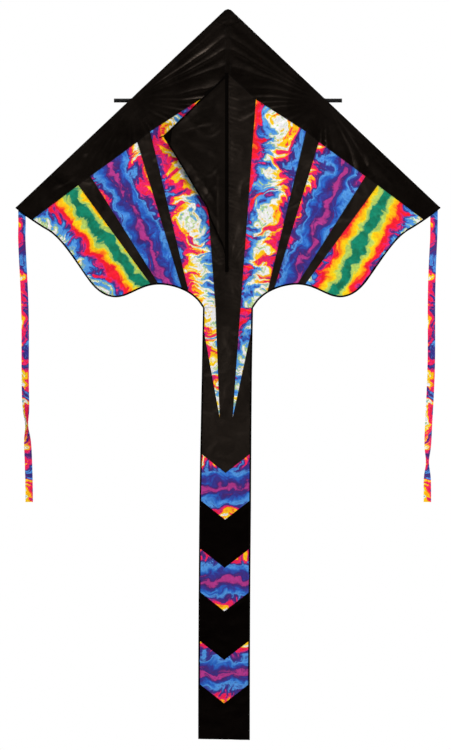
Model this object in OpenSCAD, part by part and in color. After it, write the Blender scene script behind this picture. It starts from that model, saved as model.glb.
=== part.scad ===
// Single-line delta kite with a folding keel, a long jointed tail and two wing-tip streamers.
// X runs across the span, Y from the keel side (front) to the frame side (back), Z up.
// The origin is the tip of the nose, and the sail lies in the plane y = 0.

/* [Wing outline] */
// Distance from the centre line to a wing tip
half_span = 585; // [575:1:595]
// Drop from the nose to a wing tip
tip_drop = 547; // [540:1:555]
// Half the width of the blunt nose
nose_half_w = 5.5; // [4:0.5:8]
// Drop from the nose to the seam between sail and tail
root_drop = 822; // [818:1:828]
// Thickness of the sailcloth solids
cloth_t = 0.8; // [0.6:0.1:1]
// Width of the tape that binds the trailing edge
binding_w = 4; // [3:0.5:6]
// Thickness of that tape, wrapped around both faces
binding_t = 1.4; // [1.2:0.1:1.8]
// Points on each of the five arcs of a trailing edge
arc_steps = 5; // [4:1:10]

/* [Spars] */
// Diameter of the spine rod
spine_d = 6; // [5:0.5:6]
// Height above the sail plane of the spine rod's axis
spine_y = 4; // [4:0.1:4.2]
// Diameter of a leading-edge rod
spar_d = 5; // [4:0.5:5]
// Distance behind the sail plane of a leading-edge rod's axis
spar_y = 5; // [5:0.1:5.2]
// Outer radius of the fabric sleeve on the spine
spine_sleeve_r = 3.6; // [3.5:0.1:3.6]
// Outer radius of a leading-edge sleeve
spar_sleeve_r = 3.1; // [3:0.1:3.3]
// Diameter of the spreader rod
spreader_d = 6; // [5:0.5:6]
// Distance behind the sail plane of the spreader's axis
spreader_y = 11; // [11:0.1:11.5]
// Drop from the nose to the spreader
spreader_drop = 250.5; // [245:0.5:260]
// Length of the spreader rod
spreader_len = 606; // [600:1:608]

/* [Wing fittings] */
// Outer diameter of the vinyl tube
fitting_d = 11; // [10:0.5:12]
// Distance from the centre line to the tube's outer end
fitting_reach = 314; // [312:1:318]
// Length of the tube
fitting_len = 86; // [80:1:90]
// Clearance around the spreader rod in its socket
socket_gap = 0.35; // [0.3:0.05:0.5]
// Radius of the cross hole that turns on the leading-edge rod
eye_r = 3.4; // [3.3:0.05:3.4]
// Half the gap in the sleeve where the fitting grips the rod
sleeve_gap = 20; // [20:1:25]

/* [Keel] */
// Drop from the nose to the keel's upper corner
keel_top = 176; // [172:1:180]
// Drop from the nose to the keel's lower corner
keel_bottom = 723; // [718:1:728]
// Distance of the tow point from the keel's root
tow_out = 179; // [174:1:184]
// Drop from the nose to the tow point
tow_drop = 351; // [346:1:356]
// Distance in front of the sail plane of the keel's hinge
keel_y = 1.7; // [1.7:0.1:2]
// Angle between the folded keel and the wing behind it
keel_rest = 5; // [4:0.5:8]
// Radius of the hole in the tow loop
tow_hole_r = 2.5; // [2:0.1:3]
// Width of the tow loop's tape
tow_tape_w = 3.2; // [3:0.1:4]

/* [Tail] */
// Half the width of the tail
tail_half_w = 69; // [66:1:72]
// Drop from the nose to the tail's end
tail_end_drop = 2009; // [1990:1:2030]
// Drop to the crease at which the lower tail curls
curl_drop = 1444; // [1438:1:1450]
// Width of the tail's side hems
hem_w = 4; // [3:0.5:5]
// Depth of the V in each chevron
chevron_dip = 52; // [48:1:56]

/* [Streamers] */
// Width of a streamer
streamer_w = 20.5; // [18:0.5:22]
// Distance from the centre line to a streamer's inner edge
streamer_x = 556.5; // [554:0.5:558]
// Drop from the nose to a streamer's hinge
streamer_top = 577; // [577:0.5:579]
// Drop from the nose to a streamer's lower end
streamer_bottom = 1356; // [1300:1:1400]
// Sideways lean of the streamer's lower end
streamer_lean = 19; // [0:1:25]

/* [Hidden] */

$fn = 48;
gap = 0.35;            // half the slot left along every fabric hinge
hem_gap = 0.8;         // the same between the thicker hems at the tail's crease
far = 900;             // reach of the cutting outlines beyond the sail
half_t = cloth_t / 2;
spine_top = 18;        // drop to the upper end of the spine rod
spine_end = 806;       // drop to its lower end
sleeve_end = 812;      // drop to the lower end of the spine sleeve
rod_fit = 0.05;        // radial room of a rod in its sleeve

black = [0.06, 0.055, 0.055];
spar_black = [0.1, 0.1, 0.11];
dye_rose = [0.85, 0.35, 0.5];
dye_violet = [0.45, 0.35, 0.8];
dye_green = [0.35, 0.7, 0.45];
dye_band = [0.35, 0.45, 0.85];
dye_ribbon = [0.7, 0.4, 0.6];

// Corners of the seam between the black leading panel and the panels below it
seam = [[0, -179], [77, -249], [214, -337], [250, -366], [378, -460], [412, -485], [537, -579]];
// Lower ends of the seams that run down from those corners to the trailing edge
foot = [[34.7, -root_drop], [107, -782], [126.5, -772], [190.6, -756], [212, -758]];

// Trailing edge from the wing tip to the tail: knots, and the two handles of each arc between them
knots = [[half_span, -tip_drop], [490, -613], [390, -737], [308, -793], [192, -758],
    [tail_half_w, -root_drop]];
handles = [
    [[556, -572], [522, -594]],
    [[457, -635], [421, -693]],
    [[368, -770], [341, -793]],
    [[272, -793], [239, -758]],
    [[143, -758], [91, -781]]
];

// Keel's concave trailing edge, as distance from the root and height, from the tow point inwards
keel_edge = [[128, -433], [90, -497], [59, -547], [53, -571], [32, -617], [12, -663]];
keel_hem_w = 11;
keel_patch_from = 152;

// Drop to the upper corner of each chevron at the hem, and the chevron's height there
chevron_tops = [1221, 1482, 1735];
chevron_heights = [131, 122, 122];

// Direction of the leading edge, and its angle for a part whose own Z runs down the edge
edge_len = norm([half_span - nose_half_w, tip_drop]);
edge_dir = [(half_span - nose_half_w) / edge_len, -tip_drop / edge_len];
edge_in = [edge_dir[1], -edge_dir[0]];
edge_angle = atan2(edge_dir[0], edge_dir[1]);
spar_start = [nose_half_w, 0] + spar_sleeve_r * edge_in;
// Distance along the leading edge at which the spreader crosses it
cross_at = (spreader_drop + spar_start[1]) / -edge_dir[1];
cross_x = spar_start[0] + cross_at * edge_dir[0];

function bezier(a, b, c, d, t) =
    a * pow(1 - t, 3) + 3 * b * t * pow(1 - t, 2) + 3 * c * t * t * (1 - t) + d * pow(t, 3);
trailing = concat(
    [for (i = [0 : len(handles) - 1]) for (k = [0 : arc_steps - 1])
        bezier(knots[i], handles[i][0], handles[i][1], knots[i + 1], k / arc_steps)],
    [knots[len(knots) - 1]]
);
last = len(trailing) - 1;
function unit(v) = v / norm(v);
// The same edge moved inwards by the width of the binding
trailing_in = [for (i = [0 : last])
    let (t = unit(trailing[min(i + 1, last)] - trailing[max(i - 1, 0)]))
    trailing[i] + binding_w * [t[1], -t[0]]];

function beyond(a, b, part) = b + (b - a) * part;
function hinge_x(z) = -z * tail_half_w / root_drop;

// Outlines of half the sail, out to the tape's inner edge and out to its outer edge
field = concat(
    [[0, 0], [nose_half_w, 0], knots[0] - binding_w * edge_dir],
    [for (i = [1 : last]) trailing_in[i]],
    [[tail_half_w - binding_w, -root_drop], [0, -root_drop]]
);
full_field = concat([[0, 0], [nose_half_w, 0]], trailing, [[0, -root_drop]]);
tape_band = concat(trailing, [for (i = [last : -1 : 1]) trailing_in[i]], [knots[0] - binding_w * edge_dir]);

// Cutting outlines on each side of the line from the nose to the tail's corner
wing_side = [[gap, 20], [hinge_x(-far) + gap, -far], [far, -far], [far, 20]];
root_side = [[0, -gap * root_drop / tail_half_w], [hinge_x(-far) - gap, -far], [0, -far]];

// Outlines that the seams mark off, each run out past the trailing edge
down = [for (i = [0 : 4]) beyond(seam[i + 1], foot[i], 0.2)];
seam_out = beyond(seam[5], seam[6], 0.3);
leading_cut = concat([for (i = [0 : 5]) seam[i]], [seam_out, [far, -600], [far, 20], [0, 20]]);
centre_cut = [seam[0], seam[1], down[0], [0, -far]];
inner_cut = [seam[1], seam[2], down[1], down[0]];
inner_stripe_cut = [seam[2], seam[3], down[2], down[1]];
middle_cut = [seam[3], seam[4], down[3], down[2]];
outer_stripe_cut = [seam[4], seam[5], down[4], down[3]];
outer_cut = [seam[5], seam_out, [500, -far], down[4]];

// ---- shapes shared by several parts ----

module left() {
    mirror([1, 0, 0]) children();
}

// An outline in x and z, made into a plate between two depths
module plate(outline, y0, y1) {
    rotate([90, 0, 0]) translate([0, 0, -y1]) linear_extrude(y1 - y0) polygon(outline);
}

module cloth(outline) {
    plate(outline, -half_t, half_t);
}

module wing_cloth(cut) {
    intersection() {
        cloth(field);
        plate(cut, -5, 5);
        plate(wing_side, -5, 5);
    }
}

module root_cloth(cut) {
    intersection() {
        cloth(full_field);
        plate(cut, -5, 5);
        plate(root_side, -5, 5);
    }
}

// Places a part on the right leading-edge rod, its own Z down the rod and X into the sail
module on_spar(along) {
    start = spar_start + along * edge_dir;
    translate([start[0], spar_y, start[1]]) rotate([0, edge_angle, 0]) children();
}

// A length of sleeve: round over the rod, flat-sided down to the sail behind which it is sewn
module channel(from, to) {
    depth = spar_y - half_t;
    on_spar(from) {
        cylinder(r = spar_sleeve_r, h = to - from);
        translate([-spar_sleeve_r, -depth, 0]) cube([2 * spar_sleeve_r, depth, to - from]);
    }
}

module spar_bore(from, to) {
    on_spar(from) cylinder(r = spar_d / 2 + rod_fit, h = to - from);
}

module binding() {
    intersection() {
        plate(tape_band, -binding_t / 2, binding_t / 2);
        plate(wing_side, -5, 5);
    }
}

module leading_sleeve() {
    difference() {
        channel(20, cross_at - sleeve_gap);
        spar_bore(30, cross_at);
    }
    difference() {
        channel(cross_at + sleeve_gap, edge_len - 30);
        spar_bore(cross_at, edge_len);
    }
}

module leading_rod() {
    on_spar(34) cylinder(d = spar_d, h = edge_len - 34 - 14);
}

module tip_pocket() {
    difference() {
        channel(edge_len - 30, edge_len - 6);
        spar_bore(edge_len - 40, edge_len - 12);
    }
}

// Two rings that keep the fitting from sliding along the rod
module spar_stops() {
    for (side = [-1, 1])
        on_spar(cross_at + side * 15 - 2) difference() {
            cylinder(d = spar_d + 2, h = 4);
            translate([0, 0, -1]) cylinder(d = spar_d, h = 6);
        }
}

module streamer_tab() {
    plate([[streamer_x, -551], [streamer_x + streamer_w, -551],
        [streamer_x + streamer_w, gap - streamer_top], [streamer_x, gap - streamer_top]], 0.9, 1.5);
}

module streamer() {
    low = streamer_x - streamer_lean;
    plate([[streamer_x, -streamer_top - gap], [streamer_x + streamer_w, -streamer_top - gap],
        [low + streamer_w, -streamer_bottom], [low, -streamer_bottom]], 0.9, 1.5);
}

// Vinyl tube that holds the spreader's end, with a cross hole that turns on the leading-edge rod
module fitting() {
    eye_half = 4;
    eye_wall = 1.2;
    front_y = 1.4;
    difference() {
        union() {
            translate([fitting_reach - fitting_len, spreader_y, -spreader_drop])
                rotate([0, 90, 0]) cylinder(d = fitting_d, h = fitting_len);
            on_spar(cross_at - eye_half) cylinder(r = eye_r + eye_wall, h = 2 * eye_half);
        }
        translate([fitting_reach - fitting_len - 1, spreader_y, -spreader_drop])
            rotate([0, 90, 0]) cylinder(r = spreader_d / 2 + socket_gap, h = fitting_len - 4);
        on_spar(cross_at - 30) cylinder(r = eye_r, h = 60);
        translate([cross_x - 30, -10, -spreader_drop - 30]) cube([60, 10 + front_y, 60]);
    }
}

// ---- the fixed centre of the kite ----

module spine_rod() {
    color(spar_black) translate([0, spine_y, -spine_end]) cylinder(d = spine_d, h = spine_end - spine_top);
}

module spine_sleeve() {
    color(black) difference() {
        translate([0, spine_y, -sleeve_end]) cylinder(r = spine_sleeve_r, h = sleeve_end - 12);
        translate([0, spine_y, -spine_end]) cylinder(d = spine_d + 2 * rod_fit, h = spine_end - spine_top);
    }
}

// Doubled cloth around the lower end of the spine sleeve
module spine_pocket() {
    color(black) difference() {
        translate([0, spine_y, 2 - root_drop]) cylinder(r = spine_sleeve_r + 0.8, h = 30);
        translate([0, spine_y, -sleeve_end]) cylinder(r = spine_sleeve_r, h = 40);
        translate([-10, -10, -root_drop]) cube([20, 10 + half_t, 50]);
    }
}

module nose_patch() {
    corner = [nose_half_w, 0] + 44 * edge_dir;
    color(black) plate([[-nose_half_w, 0], [nose_half_w, 0], corner, [0, -46], [-corner[0], corner[1]]],
        -1.6, -0.8);
}

module left_nose_gore() {
    color(black) left() root_cloth(leading_cut);
}

module right_nose_gore() {
    color(black) root_cloth(leading_cut);
}

module left_centre_panel() {
    color(black) left() root_cloth(centre_cut);
}

module right_centre_panel() {
    color(black) root_cloth(centre_cut);
}

module left_inner_gore() {
    color(dye_rose) left() root_cloth(inner_cut);
}

module right_inner_gore() {
    color(dye_rose) root_cloth(inner_cut);
}

// ---- left wing ----

module left_leading_panel() {
    color(black) left() wing_cloth(leading_cut);
}

module left_centre_gore() {
    color(black) left() wing_cloth(centre_cut);
}

module left_inner_panel() {
    color(dye_rose) left() wing_cloth(inner_cut);
}

module left_inner_stripe() {
    color(black) left() wing_cloth(inner_stripe_cut);
}

module left_middle_panel() {
    color(dye_violet) left() wing_cloth(middle_cut);
}

module left_outer_stripe() {
    color(black) left() wing_cloth(outer_stripe_cut);
}

module left_outer_panel() {
    color(dye_green) left() wing_cloth(outer_cut);
}

module left_trailing_binding() {
    color(black) left() binding();
}

module left_leading_sleeve() {
    color(black) left() leading_sleeve();
}

module left_leading_rod() {
    color(spar_black) left() leading_rod();
}

module left_tip_pocket() {
    color(black) left() tip_pocket();
}

module left_spar_stops() {
    color(spar_black) left() spar_stops();
}

module left_streamer_tab() {
    color(dye_ribbon) left() streamer_tab();
}

// ---- right wing ----

module right_leading_panel() {
    color(black) wing_cloth(leading_cut);
}

module right_centre_gore() {
    color(black) wing_cloth(centre_cut);
}

module right_inner_panel() {
    color(dye_rose) wing_cloth(inner_cut);
}

module right_inner_stripe() {
    color(black) wing_cloth(inner_stripe_cut);
}

module right_middle_panel() {
    color(dye_violet) wing_cloth(middle_cut);
}

module right_outer_stripe() {
    color(black) wing_cloth(outer_stripe_cut);
}

module right_outer_panel() {
    color(dye_green) wing_cloth(outer_cut);
}

module right_trailing_binding() {
    color(black) binding();
}

module right_leading_sleeve() {
    color(black) leading_sleeve();
}

module right_leading_rod() {
    color(spar_black) leading_rod();
}

module right_tip_pocket() {
    color(black) tip_pocket();
}

module right_spar_stops() {
    color(spar_black) spar_stops();
}

module right_streamer_tab() {
    color(dye_ribbon) streamer_tab();
}

// ---- spreader ----

module left_fitting() {
    color(spar_black) left() fitting();
}

module right_fitting() {
    color(spar_black) fitting();
}

module spreader_rod() {
    color(spar_black) translate([-spreader_len / 2, spreader_y, -spreader_drop])
        rotate([0, 90, 0]) cylinder(d = spreader_d, h = spreader_len);
}

// ---- keel, folded over the left wing ----

// Turns a shape drawn flat, root on the Z axis, into the folded keel's plane
module in_keel() {
    translate([0, -keel_y, 0]) rotate([0, 0, keel_rest]) children();
}

keel_outline = concat([[0, -keel_top], [-tow_out, -tow_drop]],
    [for (p = keel_edge) [-p[0], p[1]]], [[0, -keel_bottom]]);

// The part of the keel between two distances from its root
module keel_strip(from, to, thick) {
    in_keel() intersection() {
        plate(keel_outline, -thick / 2, thick / 2);
        translate([-to, -5, -far]) cube([to - from, 10, far]);
    }
}

module keel_panel() {
    color(black) keel_strip(keel_hem_w, keel_patch_from, cloth_t);
}

// Root hem with the stitched bead on which the keel turns
module keel_root_hem() {
    bead_r = 0.8;
    color(black) {
        keel_strip(bead_r / 2, keel_hem_w, 1.2);
        translate([0, -keel_y, -keel_bottom]) cylinder(r = bead_r, h = keel_bottom - keel_top);
    }
}

module keel_tow_patch() {
    color(black) keel_strip(keel_patch_from, tow_out + 1, 1.4);
}

// Narrow tape loop at the tow point, tilted down from the keel's corner
module tow_loop() {
    tilt = 25;
    neck = 5;
    ring_r = tow_hole_r + 0.8;
    color(black) in_keel() translate([-tow_out, 0, -tow_drop]) rotate([0, -tilt, 0]) difference() {
        union() {
            translate([-neck - ring_r, 0, -tow_tape_w / 2]) cylinder(r = ring_r, h = tow_tape_w);
            translate([-neck - 0.5, -0.7, -tow_tape_w / 2]) cube([neck + 0.5, 1.4, tow_tape_w]);
        }
        translate([-neck - ring_r, 0, -5]) cylinder(r = tow_hole_r, h = 10);
    }
}

// ---- tail ----

tail_in = tail_half_w - hem_w;
spike_tip = [17.9, -1122];

module tail_zone(top, bottom) {
    translate([-tail_in, -half_t, -bottom]) cube([2 * tail_in, cloth_t, bottom - top]);
}

// V-shaped cutting outline across the tail between two heights measured at the hem
module vee(top, bottom) {
    plate([[-tail_half_w, -top], [0, -top - chevron_dip], [tail_half_w, -top],
        [tail_half_w, -bottom], [0, -bottom - chevron_dip], [-tail_half_w, -bottom]], -5, 5);
}

function chevron_low(index) = chevron_tops[index] + chevron_heights[index];

module chevron(index) {
    intersection() {
        tail_zone(chevron_tops[index], chevron_low(index) + chevron_dip);
        vee(chevron_tops[index], chevron_low(index));
    }
}

module spike_outline(side, depth) {
    plate([[side * foot[0][0], -root_drop - gap], [side * tail_in, -root_drop - gap],
        [side * tail_in, -873], [side * spike_tip[0], spike_tip[1]]], -depth, depth);
}

module tail_top_panel() {
    color(black) difference() {
        intersection() {
            tail_zone(root_drop + gap, chevron_tops[0] + chevron_dip + 1);
            vee(-far, chevron_tops[0]);
        }
        spike_outline(-1, 5);
        spike_outline(1, 5);
    }
}

module tail_left_spike() {
    color(dye_rose) spike_outline(-1, half_t);
}

module tail_right_spike() {
    color(dye_rose) spike_outline(1, half_t);
}

module tail_chevron_1() {
    color(dye_band) chevron(0);
}

module tail_black_1_upper() {
    color(black) intersection() {
        tail_zone(chevron_tops[0], curl_drop - gap);
        vee(chevron_low(0), far * 3);
    }
}

module side_hems(top, bottom) {
    for (side = [-1, 1])
        translate([side * (tail_half_w - hem_w / 2) - hem_w / 2, -binding_t / 2, -bottom])
            cube([hem_w, binding_t, bottom - top]);
}

module tail_upper_hems() {
    color(black) side_hems(root_drop + gap, curl_drop - hem_gap);
}

module tail_black_1_lower() {
    color(black) intersection() {
        tail_zone(curl_drop + gap, chevron_tops[1] + chevron_dip + 1);
        vee(-far, chevron_tops[1]);
    }
}

module tail_chevron_2() {
    color(dye_band) chevron(1);
}

module tail_black_2() {
    color(black) intersection() {
        tail_zone(chevron_tops[1], chevron_tops[2] + chevron_dip + 1);
        vee(chevron_low(1), chevron_tops[2]);
    }
}

module tail_chevron_3() {
    color(dye_band) chevron(2);
}

module tail_end_panel() {
    color(black) intersection() {
        tail_zone(chevron_tops[2], tail_end_drop - hem_w);
        vee(chevron_low(2), far * 3);
    }
}

module tail_lower_hems() {
    color(black) side_hems(curl_drop + hem_gap, tail_end_drop);
}

module tail_end_hem() {
    color(black) translate([-tail_in, -binding_t / 2, -tail_end_drop]) cube([2 * tail_in, binding_t, hem_w]);
}

// ---- streamers ----

module left_streamer() {
    color(dye_ribbon) left() streamer();
}

module right_streamer() {
    color(dye_ribbon) streamer();
}

spine_rod();
spine_sleeve();
spine_pocket();
nose_patch();
left_nose_gore();
right_nose_gore();
left_centre_panel();
right_centre_panel();
left_inner_gore();
right_inner_gore();
left_leading_panel();
left_centre_gore();
left_inner_panel();
left_inner_stripe();
left_middle_panel();
left_outer_stripe();
left_outer_panel();
left_trailing_binding();
left_leading_sleeve();
left_leading_rod();
left_tip_pocket();
left_spar_stops();
left_streamer_tab();
right_leading_panel();
right_centre_gore();
right_inner_panel();
right_inner_stripe();
right_middle_panel();
right_outer_stripe();
right_outer_panel();
right_trailing_binding();
right_leading_sleeve();
right_leading_rod();
right_tip_pocket();
right_spar_stops();
right_streamer_tab();
left_fitting();
right_fitting();
spreader_rod();
keel_panel();
keel_root_hem();
keel_tow_patch();
tow_loop();
tail_top_panel();
tail_left_spike();
tail_right_spike();
tail_chevron_1();
tail_black_1_upper();
tail_upper_hems();
tail_black_1_lower();
tail_chevron_2();
tail_black_2();
tail_chevron_3();
tail_end_panel();
tail_lower_hems();
tail_end_hem();
left_streamer();
right_streamer();
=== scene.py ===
# A delta kite with a long tail: sail, keel, tail and streamers as sewn cloth round the CAD frame.
import math

import bmesh
import bpy
import numpy as np
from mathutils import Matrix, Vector, noise

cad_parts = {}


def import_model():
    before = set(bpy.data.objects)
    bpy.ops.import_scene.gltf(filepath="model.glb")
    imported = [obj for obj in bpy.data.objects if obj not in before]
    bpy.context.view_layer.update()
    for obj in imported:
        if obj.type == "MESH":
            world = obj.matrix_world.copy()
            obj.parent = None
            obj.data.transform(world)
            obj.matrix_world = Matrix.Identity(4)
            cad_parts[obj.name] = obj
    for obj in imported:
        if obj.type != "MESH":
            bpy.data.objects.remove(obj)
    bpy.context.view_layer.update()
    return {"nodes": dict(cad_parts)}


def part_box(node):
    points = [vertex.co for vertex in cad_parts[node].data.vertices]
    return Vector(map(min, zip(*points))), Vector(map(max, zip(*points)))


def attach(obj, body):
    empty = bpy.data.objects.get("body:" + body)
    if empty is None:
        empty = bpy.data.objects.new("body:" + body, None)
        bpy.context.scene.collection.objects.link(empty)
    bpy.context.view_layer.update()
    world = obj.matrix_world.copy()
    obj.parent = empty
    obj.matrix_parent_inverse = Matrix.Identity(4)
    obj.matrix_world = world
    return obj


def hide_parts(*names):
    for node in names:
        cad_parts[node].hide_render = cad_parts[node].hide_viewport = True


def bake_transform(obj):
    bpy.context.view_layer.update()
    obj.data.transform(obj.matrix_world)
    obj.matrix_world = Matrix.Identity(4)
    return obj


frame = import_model()
cad = frame["nodes"]

# ---- sizes that drive the cloth, in metres ----

MM = 0.001
CLOTH = 0.4 * MM             # thickness of the taffeta
PATCH = 0.7 * MM             # thickness of a doubled patch
CELL = 4.0 * MM              # size of a mesh cell on the sail
PANEL_ROWS = 112             # cells down a long panel
HEM = 1.5 * MM               # from a bound edge in to the edge of the cloth inside the binding
SEAM_LAP = 3 * MM            # how far the tail's top lies behind the sail's lower edge
TAIL_BEND = 50 * MM          # length over which the tail's top bends
CREASE_HALF = 30 * MM        # half the length over which the tail curls
CHEVRON_DIP = 52 * MM        # from a chevron's side corners down to its point
SPIKE_SIDE = 51 * MM         # length of a spike's edge along the side of the tail
PUCKER_PITCH = 13 * MM       # from one small fold to the next along the middle seam
STITCH_PITCH = 3.6 * MM      # from one stitch to the next
STITCH_LEN = 2.5 * MM
THREAD = 0.28 * MM           # radius of a stitch
ON_CLOTH = -0.3 * MM         # depth of a row of stitches on a single cloth
ON_TAPE = -0.75 * MM         # and on a tape folded over an edge

SIDES = (("left", -1), ("right", 1))


# ---- places read from the frame ----

def flat(co):
    """A point's place across the kite and up it, as (x, z)."""
    return np.array((co[0], co[2]))


def extreme(name, right, up):
    """The corner of a CAD node that reaches farthest in a direction."""
    corners = [flat(v.co) for v in cad[name].data.vertices]
    return max(corners, key=lambda p: p[0] * right + p[1] * up)


def pairs(ring):
    """Each item of a ring with the next one."""
    return zip(ring, ring[1:] + ring[:1])


def loop_of(name):
    """The outline of a flat CAD node's front face, as (x, z) points in order round it."""
    points, edges = [], set()

    def index(co):
        here = flat(co)
        for number, point in enumerate(points):
            if np.abs(point - here).max() < 0.1 * MM:
                return number
        points.append(here)
        return len(points) - 1

    mesh = cad[name].data
    for face in mesh.polygons:
        if face.normal.y > -0.9:
            continue
        for a, b in pairs([index(mesh.vertices[v].co) for v in face.vertices]):
            if (b, a) in edges:
                edges.remove((b, a))
            else:
                edges.add((a, b))
    following = dict(edges)
    start = here = min(following)
    order = []
    while True:
        order.append(points[here])
        here = following[here]
        if here == start:
            return order


def trailing_edge():
    """The right wing's trailing edge, from the wing tip in to the tail's corner."""
    loop = loop_of("right_trailing_binding")
    tip = max(range(len(loop)), key=lambda i: loop[i][0])
    loop = loop[tip:] + loop[:tip]
    end = min(range(len(loop)), key=lambda i: loop[i][1])
    paths = loop[:end + 1], [loop[0]] + loop[:end - 1:-1]
    outer = max(paths, key=lambda path: np.mean([np.hypot(*p) for p in path]))
    return np.array(outer[:-1] + [TAIL_CORNER])


# The sail: its leading edge starts at EDGE_START, beside the blunt nose, and the fitting turns on the
# leading rod at CROSS, between the two stop rings
ROOT_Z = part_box("right_inner_gore")[0].z
TAIL_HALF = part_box("tail_upper_hems")[1].x
TAIL_CORNER = np.array((TAIL_HALF, ROOT_Z))
NOSE = np.array((0.0, 0.0))
EDGE_START = extreme("nose_patch", 1, 9)
TIP = extreme("right_trailing_binding", 1, 0)
EDGE = trailing_edge()
EDGE_LEN = np.linalg.norm(TIP - EDGE_START)
EDGE_DIR = (TIP - EDGE_START) / EDGE_LEN
EDGE_IN = np.array((EDGE_DIR[1], -EDGE_DIR[0]))
CROSS = flat(sum(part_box("right_spar_stops"), Vector((0, 0, 0))) / 2)

# The panels' upper corners along the first seam, from the spine out, and their lower corners
SEAM = [extreme("right_" + name, 0, 1) for name in (
    "centre_panel", "inner_panel", "inner_stripe", "middle_panel", "outer_stripe", "outer_panel")]
SEAM.append(extreme("right_outer_panel", 1, 0))
FOOT = [
    extreme("right_centre_panel", 1, -9),
    extreme("right_inner_stripe", 0, -1),
    extreme("right_middle_panel", 0, -1),
    extreme("right_outer_stripe", -1, 0),
    extreme("right_outer_stripe", 0, -1),
]

# The tail: TAIL_IN is half the width of its cloth inside the bindings
TAIL_IN = TAIL_HALF - HEM
TAIL_TOP = ROOT_Z + SEAM_LAP
CURL_Z = (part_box("tail_upper_hems")[0].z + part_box("tail_lower_hems")[1].z) / 2
TAIL_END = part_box("tail_lower_hems")[0].z
SPIKE_TIP = extreme("tail_right_spike", 0, -1)
SPIKE_SHOULDER = np.array((TAIL_IN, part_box("tail_right_spike")[1].z - SPIKE_SIDE))

# The keel lies folded to the left at a small angle in front of the sail. Its flat cut is measured as
# (distance from the root, height), and so is its tow point.
KEEL_AXIS_Y = -1.7 * MM
KEEL_ANGLE = math.radians(5)
KEEL_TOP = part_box("keel_root_hem")[1].z
KEEL_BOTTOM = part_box("keel_root_hem")[0].z
KEEL_TOW = extreme("keel_tow_patch", -1, 0) / (-math.cos(KEEL_ANGLE), 1)


# ---- lines and patches in the plane of the sail ----

def distances(line):
    """How far along a line each of its points lies."""
    return np.concatenate([[0], np.cumsum(np.linalg.norm(np.diff(line, axis=0), axis=1))])


def resample(points, count):
    """Points spaced evenly along a polyline, ends included."""
    points = np.asarray(points, float)
    along = distances(points)
    wanted = np.linspace(0, along[-1], count + 1)
    return np.stack([np.interp(wanted, along, points[:, k]) for k in (0, 1)], axis=1)


def straight(a, b, count):
    """Points spaced evenly from one place to another."""
    return resample([a, b], count)


def smooth_line(points, count):
    """A Catmull-Rom curve through some points."""
    points = np.asarray(points, float)
    before, after = 2 * points[0] - points[1], 2 * points[-1] - points[-2]
    padded = np.concatenate([[before], points, [after]])
    result = []
    for i in range(len(points) - 1):
        a, b, c, d = padded[i:i + 4]
        for t in np.linspace(0, 1, count, endpoint=False):
            result.append(0.5 * (2 * b + (c - a) * t + (2 * a - 5 * b + 4 * c - d) * t * t
                                 + (3 * b - a - 3 * c + d) * t ** 3))
    result.append(points[-1])
    return np.array(result)


def rightwards(line):
    """At each point of a line, the unit step to the right of its direction."""
    steps = np.gradient(line, axis=0)
    steps /= np.linalg.norm(steps, axis=1)[:, None]
    return np.stack([steps[:, 1], -steps[:, 0]], axis=1)


def shifted(line, distance):
    """A line moved sideways, to the right of its direction."""
    return line + distance * rightwards(line)


def mirrored(grid, sign):
    """Points of the right half moved to the side with a given sign."""
    return grid * np.array((sign, 1))


def coons(top, bottom, inner, outer):
    """Grid of points inside four sides: top and bottom run outwards, inner and outer run down."""
    across = np.linspace(0, 1, len(top))[None, :, None]
    down = np.linspace(0, 1, len(inner))[:, None, None]
    rows = top[None] * (1 - down) + bottom[None] * down
    columns = inner[:, None] * (1 - across) + outer[:, None] * across
    corners = (top[0] * (1 - across) + top[-1] * across) * (1 - down) \
        + (bottom[0] * (1 - across) + bottom[-1] * across) * down
    return rows + columns - corners


def between_lines(top, bottom, rows):
    """Grid between a top and a bottom line whose ends are joined by straight sides."""
    return coons(top, bottom, straight(top[0], bottom[0], rows), straight(top[-1], bottom[-1], rows))


def meet(line, a, b):
    """Where the straight line from a through b crosses another line near b: (place, index)."""
    way = b - a
    side = (line[:, 0] - a[0]) * way[1] - (line[:, 1] - a[1]) * way[0]
    for i in range(len(line) - 1):
        if side[i] * side[i + 1] <= 0 and np.linalg.norm(line[i] - b) < 30 * MM:
            part = side[i] / (side[i] - side[i + 1])
            return line[i] + (line[i + 1] - line[i]) * part, i
    raise ValueError("the lines don't cross")


EDGE_SMOOTH = smooth_line(EDGE, 6)
HEMLINE = shifted(EDGE_SMOOTH, HEM)


def hem_between(outer_end, inner_end):
    """The stretch of the hem line between two seams, running outwards."""
    far_point, far_index = outer_end
    near_point, near_index = inner_end
    stretch = HEMLINE[far_index + 1:near_index + 1]
    return np.concatenate([[far_point], stretch, [near_point]])[::-1]


# ---- how far the cloth stands in front of or behind its flat plane ----

def ease(value, low, high):
    """Rises smoothly from 0 to 1 between two values."""
    t = np.clip((value - low) / (high - low), 0, 1)
    return t * t * (3 - 2 * t)


def cloud(x, z, size, seed):
    """Soft noise, about -1 to 1, with features of a given size."""
    return np.array([
        noise.fractal(Vector((a / size, seed, b / size)), 0.6, 2.1, 2)
        for a, b in zip(x.ravel(), z.ravel())
    ]).reshape(x.shape)


def crumple(x, z, size, seed):
    """Soft-crested crumples, about -0.5 to 0.5."""
    return np.clip(1 - np.abs(cloud(x, z, size, seed)) * 2.0, 0, 1) ** 1.3 - 0.5


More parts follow.
